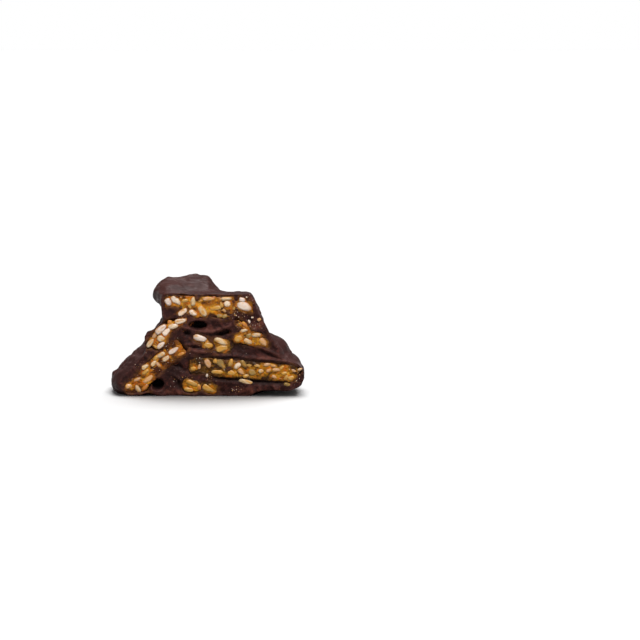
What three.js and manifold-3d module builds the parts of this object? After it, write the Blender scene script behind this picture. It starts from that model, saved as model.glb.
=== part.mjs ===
// Sesame nougatine in dark chocolate: a lump of broken nougatine shards, set and coated in dark
// chocolate, cut in half with a knife. The cut face shows the shards as amber bands full of sesame.
//
// Millimetres, +Z up. +X runs along the cut, +Y runs back from it into the lump, and the cut face
// looks along -Y. The origin is the centre of the base. Until the last step everything is placed in
// the knife's frame instead: x = 0 is the middle of the cut, y = 0 the cut plane, z = 0 the table.

import * as THREE from "three";
import { MarchingCubes } from "three/addons/objects/MarchingCubes.js";
import { SimplexNoise } from "three/addons/math/SimplexNoise.js";
import { mergeVertices } from "three/addons/utils/BufferGeometryUtils.js";
import Module from "manifold-3d";

const wasm = await Module();
wasm.setup();

// ---- driving dimensions, in mm and degrees ----

const COAT = 0.7; // least chocolate over the outermost shards
const MELT = 2.4; // how widely the chocolate fills the corner between two shards
const CLEARANCE = 0.3; // between a shard and the pocket that holds it
const OVERCUT = 4; // how far the whole lump ran on in front of the knife
const SHARD_ROUND = 0.7; // worn edge of a shard
const RIPPLE = { height: 0.5, width: 9 }; // slow waves on top of that
const FACET = 1.5; // grid step of the coated surface
const CUT_GRID = 1.6; // grid step of the cut face
const SEED = { length: 3.2, width: 1.9, thick: 1.2, proud: 0.3 };

// The nougatine shards that the knife went through, named for where their bands lie on the cut.
// x and z: middle of the band; length and thick: size of the band; turn: its slope, rising to the
// right; depth: how far the shard runs back; lean: how it climbs towards the back; yaw: how it swings
// to the right; seeds: those that catch the eye, as [along, across, turn, length, width] from the
// middle of the band, with turn measured from the band; more: how many others fill the space between.
const SHARDS = [
  {
    name: "nougatine_top", x: 0.5, z: 22.5, length: 21.2, thick: 4.5,
    turn: -1.5, depth: 10, lean: -2, yaw: -4,
    seeds: [
      [-9.7, 0.6, -62, 2.0, 1.5], [-7.9, 0.6, -40, 2.4, 1.9], [-3.6, 0.8, 88, 2.4, 1.3],
      [-6.2, -1.8, 36, 2.6, 1.3], [-3.5, -2.1, -25, 2.4, 1.4], [-1.4, -1.5, -55, 3.1, 1.6],
      [0.3, 1.6, 2, 3.1, 0.9], [4.6, 1.7, 3, 2.8, 1.0], [4.9, 0.4, -20, 1.7, 1.4],
      [2.0, -0.9, 12, 2.9, 1.2], [8.5, 1.4, -15, 1.6, 1.2], [9.0, -0.4, -18, 3.7, 2.0],
    ],
    more: 3,
  },
  {
    name: "nougatine_upper_left", x: -9.2, z: 16.2, length: 10.2, thick: 3.1, taper: -0.25,
    turn: 34, depth: 10, lean: -13, yaw: 24,
    seeds: [
      [4.6, 0.1, -24, 2.9, 1.2], [2.2, -0.1, -26, 2.6, 1.2], [-0.8, 1.0, 3, 3.2, 1.5],
      [-0.3, -0.6, 4, 2.3, 1.3], [-4.1, 0.5, 12, 2.6, 1.1], [-3.1, -1.3, 2, 2.3, 1.1],
      [-2.2, 0.2, -50, 1.9, 1.6],
    ],
    more: 2,
  },
  {
    name: "nougatine_lower_left", x: -13.2, z: 6.9, length: 17.2, thick: 4.1, taper: 0.1,
    turn: 38.5, depth: 14, lean: 4, yaw: 4,
    seeds: [
      [5.8, 0.7, -6, 3.2, 1.0], [2.9, 1.1, -8, 2.3, 1.2], [3.2, -0.4, -4, 2.0, 1.1],
      [0.6, 1.5, 10, 2.1, 1.0], [1.0, 0.5, -84, 1.7, 0.9], [-1.9, 1.6, -10, 2.0, 1.0],
      [-3.0, 0.4, -8, 2.3, 1.2], [-3.9, -1.3, -2, 3.1, 1.3], [-5.7, 0.3, -20, 2.0, 0.9],
      [-8.1, 0.1, -35, 1.9, 1.3], [-5.4, -1.9, 8, 2.3, 1.1], [7.4, -1.2, -20, 2.1, 1.0],
    ],
    more: 3,
  },
  {
    name: "nougatine_crumb_left", x: -0.8, z: 13.9, length: 4.8, thick: 2.6,
    turn: -32, depth: 6, lean: 12, yaw: 0,
    seeds: [[-0.9, 0.4, 14, 3.4, 1.6], [1.3, -0.5, 20, 2.3, 1.5]],
    more: 0,
  },
  {
    name: "nougatine_crumb_right", x: 3.7, z: 12.6, length: 4.4, thick: 3.2,
    turn: -15, depth: 6, lean: -8, yaw: 0,
    seeds: [[-0.4, 0.9, -12, 3.6, 1.4], [0.2, -0.8, 24, 3.3, 1.5]],
    more: 0,
  },
  {
    name: "nougatine_upper_right", x: 10.8, z: 15.0, length: 9.4, thick: 3.5, taper: -0.3,
    turn: -24, depth: 10, lean: -10, yaw: -8,
    seeds: [
      [-2.6, -1.7, 44, 2.4, 1.7], [-0.6, -1.2, 8, 2.3, 1.1], [1.0, 0.8, 36, 2.5, 1.2],
      [3.1, -0.6, -14, 2.6, 1.5], [-2.5, 1.3, -10, 2.0, 1.0], [-4.0, 1.5, -16, 2.0, 0.8],
    ],
    more: 2,
  },
  {
    name: "nougatine_lower_right", x: 9.0, z: 6.6, length: 26.2, thick: 3.8,
    turn: -4.5, depth: 16, lean: -2, yaw: -8,
    seeds: [
      [-9.1, 0.8, -60, 2.2, 1.6], [-5.9, 0.7, -46, 3.5, 1.9], [-6.9, -1.1, 0, 3.3, 1.2],
      [-1.7, 0.8, 50, 2.0, 1.1], [-0.7, -0.8, -40, 2.0, 1.3], [-3.0, -1.2, 5, 2.2, 1.4],
      [4.2, -0.2, 0, 1.4, 1.1], [8.2, 0.4, 2, 2.3, 0.9], [7.6, -1.3, -36, 1.4, 0.9],
      [5.8, 1.4, 14, 2.1, 0.9], [11.9, -1.0, 20, 1.6, 1.3], [-12.6, -0.9, 10, 1.5, 1.3],
    ],
    more: 6,
  },
  {
    name: "nougatine_base", x: -1.9, z: 2.6, length: 8.0, thick: 2.9,
    turn: -10, depth: 9, lean: 4, yaw: 0,
    seeds: [[-2.3, 0.5, -10, 3.5, 1.3], [-2.7, -0.9, 2, 2.4, 1.2], [2.2, -0.2, -18, 3.4, 1.6]],
    more: 1,
  },
];

// Shards that the coat hides. They only shape the lump: middle, length, thickness, depth and turns.
const BURIED_SHARDS = [
  { x: -16.7, y: 10, z: 6.0, length: 14.5, thick: 5.0, depth: 11, turn: 50, lean: 4, yaw: -10 },
  { x: -4.9, y: 12, z: 24.4, length: 11.0, thick: 3.0, depth: 9, turn: -6, lean: -8, yaw: 18 },
  { x: 5.0, y: 19, z: 13.5, length: 17, thick: 4.2, depth: 13, turn: -34, lean: -30, yaw: 18 },
  { x: -5.6, y: 20, z: 11.4, length: 13.5, thick: 4.4, depth: 13, turn: 24, lean: -40, yaw: -14 },
  { x: 11.0, y: 15, z: 4.2, length: 16.5, thick: 4.6, depth: 18, turn: 4, lean: -6, yaw: -24 },
];

// Chocolate that pooled between the shards and over them: middles and half sizes.
const POOLS = [
  { x: -1, y: 6, z: 5.5, rx: 18.5, ry: 15, rz: 7.7 },
  { x: 0.5, y: 7, z: 14.5, rx: 11.6, ry: 12, rz: 7.7 },
  { x: -8.8, y: 8, z: 25.2, rx: 4.0, ry: 5.6, rz: 2.6 },
  { x: -3.3, y: 12, z: 25.9, rx: 3.7, ry: 4.6, rz: 3.1 },
  { x: 15.7, y: 6, z: 10.8, rx: 4.1, ry: 5.6, rz: 3.4 },
  { x: 19.2, y: 5, z: 4.4, rx: 4.6, ry: 6.6, rz: 3.5 },
  { x: 9.0, y: 4, z: 18.5, rx: 4.2, ry: 5.6, rz: 4.0 },
  { x: 12.4, y: -1.5, z: 16.8, rx: 2.5, ry: 4, rz: 2.4 },
  { x: -20.0, y: 8, z: 2.4, rx: 4.2, ry: 5.8, rz: 3.6 },
];

// Air pockets that the knife opened: middles and half sizes.
const HOLES = [
  { x: -2.2, z: 17.8, rx: 2.5, ry: 2.4, rz: 1.0 },
  { x: -12.4, z: 2.9, rx: 1.7, ry: 2.4, rz: 1.5 },
  { x: 4.7, z: 16.0, rx: 1.3, ry: 0.8, rz: 0.5 },
];

// Single seeds in the chocolate, on the cut: [x, z, turn, length, width].
const LOOSE_SEEDS = [
  [9.7, 3.4, -18, 3.6, 1.4],
  [20.2, 2.8, -15, 2.1, 0.9],
];

const MATERIALS = {
  chocolate: new THREE.MeshStandardMaterial({ color: 0x3b2420, roughness: 0.45, metalness: 0 }),
  nougatine: new THREE.MeshStandardMaterial({ color: 0xb8782a, roughness: 0.35, metalness: 0 }),
};

// ---- small tools ----

const rad = THREE.MathUtils.degToRad;

// Random numbers from 0 to 1 that are the same each run.
function seededRandom(seed) {
  let state = seed;
  return () => {
    state = (state * 1664525 + 1013904223) >>> 0;
    return state / 2 ** 32;
  };
}

function solidOf(geometry) {
  const bare = geometry.clone();
  bare.deleteAttribute("normal");
  bare.deleteAttribute("uv");
  const merged = mergeVertices(bare, 1e-4);
  return new wasm.Manifold(
    new wasm.Mesh({
      numProp: 3,
      vertProperties: new Float32Array(merged.attributes.position.array),
      triVerts: new Uint32Array(merged.index.array),
    }),
  );
}

function geometryOf(solid) {
  const { vertProperties, triVerts } = solid.getMesh();
  const geometry = new THREE.BufferGeometry();
  geometry.setAttribute("position", new THREE.BufferAttribute(vertProperties, 3));
  geometry.setIndex(new THREE.BufferAttribute(triVerts, 1));
  geometry.computeVertexNormals();
  return geometry;
}

// Moves every vertex of a geometry to where change puts it.
function reshape(geometry, change) {
  const place = geometry.attributes.position;
  const p = new THREE.Vector3();
  for (let i = 0; i < place.count; i++) {
    change(p.fromBufferAttribute(place, i));
    place.setXYZ(i, p.x, p.y, p.z);
  }
  return geometry;
}

function largestBody(solid) {
  return solid.decompose().reduce((a, b) => (a.volume() > b.volume() ? a : b));
}

// A shard's own frame: x along its band on the cut, y back into the lump, z through its thickness.
function shardFrame({ x, y = 0, z, turn, lean, yaw }) {
  return new THREE.Matrix4()
    .makeTranslation(x, y, z)
    .multiply(new THREE.Matrix4().makeRotationY(-rad(turn)))
    .multiply(new THREE.Matrix4().makeRotationX(rad(lean)))
    .multiply(new THREE.Matrix4().makeRotationZ(-rad(yaw)));
}

// ---- the coated lump ----

const noise = new SimplexNoise({ random: seededRandom(11) });

function ripple(p) {
  const w = RIPPLE.width;
  return RIPPLE.height * (0.5 + 0.5 * noise.noise3d(p.x / w, p.y / w, p.z / w));
}

// Distance from p to a box with rounded edges, centred on the origin.
function roundedBoxDistance(p, half, round) {
  const q = new THREE.Vector3(Math.abs(p.x), Math.abs(p.y), Math.abs(p.z)).sub(half).addScalar(round);
  const inside = Math.min(Math.max(q.x, q.y, q.z), 0);
  return q.max(new THREE.Vector3()).length() + inside - round;
}

function ellipsoidDistance(p, { x, y, z, rx, ry, rz }) {
  const reach = Math.hypot((p.x - x) / rx, (p.y - y) / ry, (p.z - z) / rz);
  return (reach - 1) * Math.min(rx, ry, rz);
}

// The smaller of two distances, with the corner between them filled in.
function melt(a, b) {
  const mix = Math.max(MELT - Math.abs(a - b), 0) / MELT;
  return Math.min(a, b) - (mix * mix * MELT) / 4;
}

// How much thicker than its middle a shard is at x along its band.
function swell({ length, taper = 0 }, x) {
  return 1 + 2 * taper * THREE.MathUtils.clamp(x / length, -0.5, 0.5);
}

const slabs = [
  ...SHARDS.map((shard) => ({
    shard,
    toShard: shardFrame(shard).invert(),
    middle: new THREE.Vector3(0, (shard.depth - OVERCUT) / 2, 0),
    half: new THREE.Vector3(shard.length / 2, (shard.depth + OVERCUT) / 2, shard.thick / 2),
  })),
  ...BURIED_SHARDS.map((shard) => ({
    shard,
    toShard: shardFrame(shard).invert(),
    middle: new THREE.Vector3(),
    half: new THREE.Vector3(shard.length / 2, shard.depth / 2, shard.thick / 2),
  })),
];

function lumpDistance(p) {
  const coated = slabs
    .map(({ shard, toShard, middle, half }) => {
      const local = p.clone().applyMatrix4(toShard).sub(middle);
      local.z /= swell(shard, local.x);
      return roundedBoxDistance(local, half, SHARD_ROUND) - COAT;
    })
    .reduce(melt);
  return POOLS.map((pool) => ellipsoidDistance(p, pool)).reduce(melt, coated) - ripple(p);
}

// The closed surface where lumpDistance is zero.
function lumpSolid() {
  const centre = new THREE.Vector3(0, 14, 12);
  const reach = 30;
  const steps = Math.ceil((2 * reach) / FACET);
  const cubes = new MarchingCubes(steps, MATERIALS.chocolate, false, false, 40000);
  cubes.isolation = 0;
  const p = new THREE.Vector3();
  for (let k = 0; k < steps; k++)
    for (let j = 0; j < steps; j++)
      for (let i = 0; i < steps; i++) {
        p.set(i, j, k).multiplyScalar(2 / steps).subScalar(1).multiplyScalar(reach).add(centre);
        const depthInside = -lumpDistance(p);
        // A corner that lies almost on the surface would give needle-thin facets.
        const least = 0.1 * FACET;
        cubes.setCell(i, j, k, Math.abs(depthInside) < least ? least : depthInside);
      }
  cubes.update();
  const geometry = new THREE.BufferGeometry();
  const used = cubes.positionArray.slice(0, cubes.count * 3);
  geometry.setAttribute("position", new THREE.BufferAttribute(used, 3));
  geometry.scale(reach, reach, reach).translate(centre.x, centre.y, centre.z);
  return solidOf(geometry);
}

// ---- the knife ----

// How far the chocolate's cut face lies behind the knife's plane: it broke a little, not only cut,
// and left a lip over the long lower right shard.
function cutRelief(x, z) {
  const waves = 0.16 * Math.sin(0.55 * x + 0.4 * z) + 0.14 * Math.sin(0.9 * z - 0.35 * x + 1);
  const lipEdge = 9.4 - 0.09 * (x - 9);
  const above = THREE.MathUtils.clamp((z - lipEdge) / 4.5, -1, 1);
  const along = THREE.MathUtils.smoothstep(x, -3, 4);
  const lip = above < 0 ? 0.35 : -0.8 * (1 - above);
  return waves + along * (Math.abs(above) < 1 ? lip : 0);
}

// Everything behind the knife and above the table. relief(x, z) shapes the front of the block.
function behindKnife(relief) {
  const size = { x: 60, y: 40, z: 36 };
  const steps = (length) => Math.round(length / CUT_GRID);
  const block = new THREE.BoxGeometry(size.x, size.y, size.z, steps(size.x), 1, steps(size.z));
  block.translate(0, size.y / 2, size.z / 2);
  return solidOf(reshape(block, (p) => {
    if (p.y < 1) p.y = relief(p.x, p.z);
  }));
}

// ---- nougatine and seeds ----

// The plan of a broken shard: a straight front where the knife went through, uneven behind.
function shardPlan({ length, depth }, random) {
  const jitter = (size) => size * (random() - 0.5);
  const half = length / 2;
  const points = [new THREE.Vector2(half, -OVERCUT), new THREE.Vector2(half, 0.25 * depth)];
  const corners = 5;
  for (let i = 0; i < corners; i++) {
    const turn = (Math.PI * (i + 0.5)) / corners;
    points.push(new THREE.Vector2(
      0.97 * half * Math.sign(Math.cos(turn)) * Math.abs(Math.cos(turn)) ** 0.5 + jitter(0.12 * half),
      depth * (0.25 + 0.72 * Math.sin(turn) ** 0.6) + jitter(0.08 * depth),
    ));
  }
  points.push(new THREE.Vector2(-half, 0.25 * depth), new THREE.Vector2(-half, -OVERCUT));
  return new THREE.Shape(points);
}

function shardSolid(shard, plan, grow) {
  const geometry = new THREE.ExtrudeGeometry(plan, {
    depth: shard.thick - 2 * SHARD_ROUND,
    bevelThickness: SHARD_ROUND + grow,
    bevelSize: SHARD_ROUND + grow,
    bevelOffset: -SHARD_ROUND,
    bevelSegments: 2,
  });
  geometry.translate(0, 0, SHARD_ROUND - shard.thick / 2);
  reshape(geometry, (p) => {
    p.z *= swell(shard, p.x);
  });
  return solidOf(geometry.applyMatrix4(shardFrame(shard)));
}

// A sesame seed, blunt at one end and pointed at the other, lying along x and wide along z.
function seedSolid([x, z, turn, length, width], grow) {
  const seed = new THREE.SphereGeometry(0.5, 6, 5).rotateZ(-Math.PI / 2);
  reshape(seed, (p) => {
    const round = Math.max(2 * Math.hypot(p.y, p.z), 1e-6) ** -0.25;
    p.y *= round * (1 - 0.5 * p.x);
    p.z *= round * (1 - 0.5 * p.x);
  });
  seed.scale(length + 2 * grow, SEED.thick + 2 * grow, width + 2 * grow);
  seed.rotateY(-rad(turn)).translate(x, SEED.thick / 2 - SEED.proud, z);
  return solidOf(seed);
}

// Seeds on a shard's band: first those that are named, then others in the widest gaps left.
function seedsOnBand(shard, random) {
  const { length, thick, turn, seeds, more } = shard;
  const placed = [...seeds];
  for (let n = 0; n < more; n++) {
    let best = null;
    for (let tries = 0; tries < 24; tries++) {
      const along = (length - SEED.length) * (random() - 0.5);
      const across = (thick - SEED.width) * (random() - 0.5);
      const room = Math.min(...placed.map(([a, c]) => Math.hypot(along - a, 1.6 * (across - c))));
      if (!best || room > best.room) best = { room, along, across };
    }
    const size = 0.55 + 0.25 * random();
    const spin = 70 * (random() - 0.5);
    placed.push([best.along, best.across, spin, size * SEED.length, size * SEED.width * 0.75]);
  }
  const c = Math.cos(rad(turn));
  const s = Math.sin(rad(turn));
  return placed.map(([along, across, spin, long, wide]) => [
    shard.x + along * c - across * s,
    shard.z + along * s + across * c,
    turn + spin,
    long,
    wide,
  ]);
}

// ---- the piece ----

function build() {
  const piece = new THREE.Group();
  const knife = behindKnife(() => 0);
  let chocolate = lumpSolid().intersect(behindKnife(cutRelief));
  let taken = null;

  SHARDS.forEach((shard, i) => {
    const random = seededRandom(101 + i);
    const plan = shardPlan(shard, random);
    const seeds = seedsOnBand(shard, random);
    let nougatine = shardSolid(shard, plan, 0).intersect(knife);
    let pocket = shardSolid(shard, plan, CLEARANCE);
    for (const seed of seeds) {
      nougatine = nougatine.add(seedSolid(seed, 0));
      pocket = pocket.add(seedSolid(seed, CLEARANCE));
    }
    // Where two shards would meet, the later one is broken off short.
    if (taken) nougatine = nougatine.subtract(taken);
    taken = taken ? taken.add(pocket) : pocket;
    const mesh = new THREE.Mesh(geometryOf(largestBody(nougatine)), MATERIALS.nougatine);
    mesh.name = shard.name;
    piece.add(mesh);
  });

  for (const seed of LOOSE_SEEDS) chocolate = chocolate.add(seedSolid(seed, 0));
  chocolate = chocolate.subtract(taken);
  for (const { x, z, rx, ry, rz } of HOLES) {
    const hole = new THREE.SphereGeometry(1, 10, 8).scale(rx, ry, rz).translate(x, 0, z);
    chocolate = chocolate.subtract(solidOf(hole));
  }

  const body = new THREE.Mesh(geometryOf(largestBody(chocolate)), MATERIALS.chocolate);
  body.name = "chocolate";
  piece.add(body);

  const box = new THREE.Box3().setFromObject(piece);
  const middle = box.getCenter(new THREE.Vector3());
  piece.position.set(-middle.x, -middle.y, -box.min.z);
  return piece;
}

export default build();
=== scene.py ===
"""Dresses the cut lump of sesame nougatine: satin dark chocolate, amber caramel and sesame seeds.

Metres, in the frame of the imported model. The knife went along X, the cut face looks along -Y, and
the lump stands on Z = 0. Places on the cut are given in millimetres from the middle of its foot.
"""

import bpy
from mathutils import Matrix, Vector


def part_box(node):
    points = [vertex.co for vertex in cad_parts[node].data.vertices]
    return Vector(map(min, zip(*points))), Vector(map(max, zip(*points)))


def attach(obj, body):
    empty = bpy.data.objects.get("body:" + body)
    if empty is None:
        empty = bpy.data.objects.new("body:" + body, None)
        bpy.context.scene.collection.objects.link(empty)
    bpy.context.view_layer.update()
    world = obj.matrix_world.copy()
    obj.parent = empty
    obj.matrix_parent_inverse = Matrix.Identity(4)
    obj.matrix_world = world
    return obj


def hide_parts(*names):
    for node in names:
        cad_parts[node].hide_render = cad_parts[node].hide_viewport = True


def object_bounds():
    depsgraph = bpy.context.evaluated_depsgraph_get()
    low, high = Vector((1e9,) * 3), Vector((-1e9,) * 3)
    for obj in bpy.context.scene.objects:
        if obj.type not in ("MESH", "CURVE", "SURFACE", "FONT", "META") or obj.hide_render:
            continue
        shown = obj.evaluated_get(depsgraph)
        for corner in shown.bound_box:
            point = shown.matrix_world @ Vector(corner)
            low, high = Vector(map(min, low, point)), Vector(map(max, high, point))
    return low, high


bl_info = {
    "name": "Sesame Nougatine",
    "version": (1, 0, 0),
    "blender": (4, 5, 0),
    "location": "3D View > Sidebar > Nougatine",
    "description": "Dresses a cut lump of sesame nougatine set in dark chocolate",
    "category": "Mesh",
}

import math

import bmesh
import bpy
import numpy as np
from bpy.props import FloatProperty, FloatVectorProperty, IntProperty, PointerProperty
from mathutils import Euler, Matrix, Vector, noise
from mathutils.bvhtree import BVHTree

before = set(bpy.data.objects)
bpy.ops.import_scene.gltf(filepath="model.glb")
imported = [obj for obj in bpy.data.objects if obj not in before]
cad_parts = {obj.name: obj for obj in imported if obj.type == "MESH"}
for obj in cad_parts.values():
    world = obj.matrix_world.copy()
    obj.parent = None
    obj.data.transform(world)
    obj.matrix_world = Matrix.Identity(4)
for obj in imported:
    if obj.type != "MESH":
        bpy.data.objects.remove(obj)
CAD_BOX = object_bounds()

MM = 0.001

# From the left end of the lump to the middle of the foot of the cut, in millimetres.
FOOT_MIDDLE = 24.673


def knife_plane():
    """The y of the knife's plane: that of the largest flat area on the front of the top shard."""
    areas = {}
    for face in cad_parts["nougatine_top"].data.polygons:
        if face.normal.y < -0.999:
            place = round(face.center.y, 5)
            areas[place] = areas.get(place, 0) + face.area
    return max(areas, key=areas.get)


CUT_Y = knife_plane()
CUT_X = CAD_BOX[0].x + FOOT_MIDDLE * MM

# The bands of nougatine: the caramel of each, and how many seeds lie sunk in it besides those that
# catch the eye.
BANDS = {
    "nougatine_top": ("top", 4),
    "nougatine_upper_left": ("left", 2),
    "nougatine_lower_left": ("left", 2),
    "nougatine_crumb_left": ("top", 0),
    "nougatine_crumb_right": ("right", 0),
    "nougatine_upper_right": ("top", 2),
    "nougatine_lower_right": ("right", 9),
    "nougatine_base": ("right", 1),
}

# The caramels: their deep, bright and golden colours, and how much chocolate is smeared on them.
CARAMELS = {
    "top": ((0.036, 0.008, 0.0010), (0.30, 0.105, 0.0050), (0.50, 0.232, 0.017), 0.26),
    "left": ((0.044, 0.0095, 0.0010), (0.26, 0.084, 0.004), (0.45, 0.190, 0.012), 0.16),
    "right": ((0.030, 0.010, 0.0008), (0.27, 0.105, 0.0040), (0.48, 0.212, 0.012), 0.20),
}

# The tones of the seeds: white, cream, peach, golden under caramel, dim olive and orange. Each has a
# colour, how far such seeds stand out of the cut, and how much of them wears a film of caramel.
TONES = {
    "W": ((0.56, 0.45, 0.36), 1.0, 0.08),
    "C": ((0.46, 0.34, 0.21), 0.85, 0.22),
    "P": ((0.43, 0.24, 0.12), 0.65, 0.22),
    "G": ((0.38, 0.215, 0.050), 0.55, 0.40),
    "D": ((0.22, 0.133, 0.032), 0.35, 0.15),
    "O": ((0.39, 0.135, 0.024), 0.5, 0.30),
}

# Seeds that catch the eye on the cut: x, z, slope in degrees, length, width, tone.
SEEDS = {
    "nougatine_top": (
        (-9.6, 23.7, -60, 2.0, 1.5, "W"), (-8.1, 24.2, -55, 2.2, 1.3, "W"),
        (-7.2, 23.7, -50, 2.2, 1.2, "W"), (-3.4, 23.8, 88, 2.3, 1.3, "C"),
        (-6.0, 21.2, 35, 2.6, 1.2, "W"), (-3.4, 21.0, -25, 2.3, 1.3, "W"),
        (-1.1, 21.5, -55, 3.2, 1.7, "C"), (0.4, 24.5, 0, 3.1, 1.0, "P"),
        (4.9, 24.5, 2, 2.8, 0.9, "C"), (5.1, 23.2, -20, 1.7, 1.5, "W"),
        (8.8, 24.2, -15, 1.6, 1.2, "W"), (9.3, 22.5, -20, 3.8, 2.1, "W"),
        (2.1, 22.1, 10, 3.0, 1.2, "G"), (3.2, 20.2, -5, 1.9, 1.0, "D"),
        (4.5, 20.1, 20, 1.5, 1.0, "D"), (6.9, 22.1, 0, 1.6, 1.4, "D"),
    ),
    "nougatine_upper_left": (
        (-6.5, 18.9, 12, 3.0, 1.2, "W"), (-8.5, 17.6, 10, 2.7, 1.3, "W"),
        (-11.5, 16.9, 40, 3.3, 1.5, "W"), (-10.1, 16.2, 42, 2.4, 1.4, "W"),
        (-11.5, 14.5, -10, 2.1, 1.6, "C"), (-14.1, 13.4, 50, 2.7, 1.2, "C"),
        (-11.5, 12.8, 40, 2.5, 1.2, "W"), (-9.2, 18.6, -10, 1.3, 1.0, "O"),
    ),
    "nougatine_lower_left": (
        (-8.2, 11.6, 32, 3.3, 1.1, "W"), (-11.5, 10.4, 30, 2.3, 1.2, "C"),
        (-10.3, 9.5, 35, 2.1, 1.2, "C"), (-13.3, 8.3, 50, 2.1, 1.1, "C"),
        (-12.2, 7.9, -45, 1.8, 0.9, "P"), (-15.5, 7.4, 30, 2.0, 1.1, "C"),
        (-15.4, 6.1, 35, 2.3, 1.2, "G"), (-14.9, 4.2, 38, 3.1, 1.3, "P"),
        (-17.4, 4.2, 20, 2.0, 0.9, "P"), (-19.6, 2.4, 5, 1.9, 1.3, "P"),
        (-15.4, 2.3, 50, 2.3, 1.1, "O"), (-6.5, 10.6, 20, 2.1, 1.0, "O"),
    ),
    "nougatine_crumb_left": (
        (-1.8, 14.7, -15, 3.5, 1.6, "W"), (0.3, 12.9, -10, 2.4, 1.5, "G"),
    ),
    "nougatine_crumb_right": (
        (3.5, 13.7, -25, 3.7, 1.5, "C"), (3.9, 11.9, 10, 3.4, 1.6, "G"),
    ),
    "nougatine_upper_right": (
        (7.9, 14.6, 20, 2.4, 1.7, "G"), (10.2, 13.8, -25, 2.3, 1.2, "C"),
        (12.2, 15.4, 5, 2.4, 1.1, "C"), (14.0, 13.5, -50, 2.6, 1.4, "P"),
        (9.4, 17.9, -45, 2.1, 1.0, "O"), (7.9, 18.3, -60, 1.5, 0.9, "D"),
    ),
    "nougatine_lower_right": (
        (0.1, 8.2, -65, 2.3, 1.6, "P"), (3.4, 7.9, -50, 3.6, 1.9, "D"),
        (2.2, 6.1, -5, 3.4, 1.2, "G"), (7.5, 7.6, 45, 2.1, 1.2, "W"),
        (8.4, 6.1, -45, 2.1, 1.2, "P"), (6.1, 5.7, -10, 2.3, 1.5, "G"),
        (11.2, 6.1, 0, 2.0, 1.8, "D"), (-3.5, 6.9, 10, 1.5, 1.2, "G"),
        (13.4, 6.3, 0, 1.4, 1.1, "C"), (17.3, 6.6, 0, 2.3, 1.0, "P"),
        (16.7, 4.8, -30, 1.5, 0.9, "P"), (15.0, 7.9, 5, 2.1, 0.9, "P"),
        (18.6, 7.2, 40, 1.6, 0.8, "G"), (20.9, 4.6, 20, 1.7, 1.2, "G"),
        (23.1, 6.7, 25, 1.3, 0.7, "C"), (16.5, 7.6, -12, 1.5, 0.8, "P"),
        (15.4, 6.5, 28, 1.5, 0.9, "P"), (19.3, 5.8, 8, 1.8, 0.9, "G"),
    ),
    "nougatine_base": (
        (-4.1, 3.2, -20, 3.6, 1.4, "G"), (-4.7, 1.6, -10, 2.4, 1.2, "G"),
        (0.3, 1.8, -28, 3.5, 1.6, "G"),
    ),
}

# Seeds that lie loose in the chocolate of the cut face.
LOOSE_SEEDS = (
    (9.6, 3.5, -18, 3.7, 1.4, "C"), (20.1, 2.8, -15, 2.1, 0.9, "D"),
    (10.5, 18.7, -70, 1.1, 0.6, "W"), (11.3, 19.8, 0, 0.6, 0.5, "W"),
    (13.0, 19.3, 30, 1.1, 0.8, "P"), (-0.1, 5.2, 80, 0.9, 0.6, "W"),
)

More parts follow.
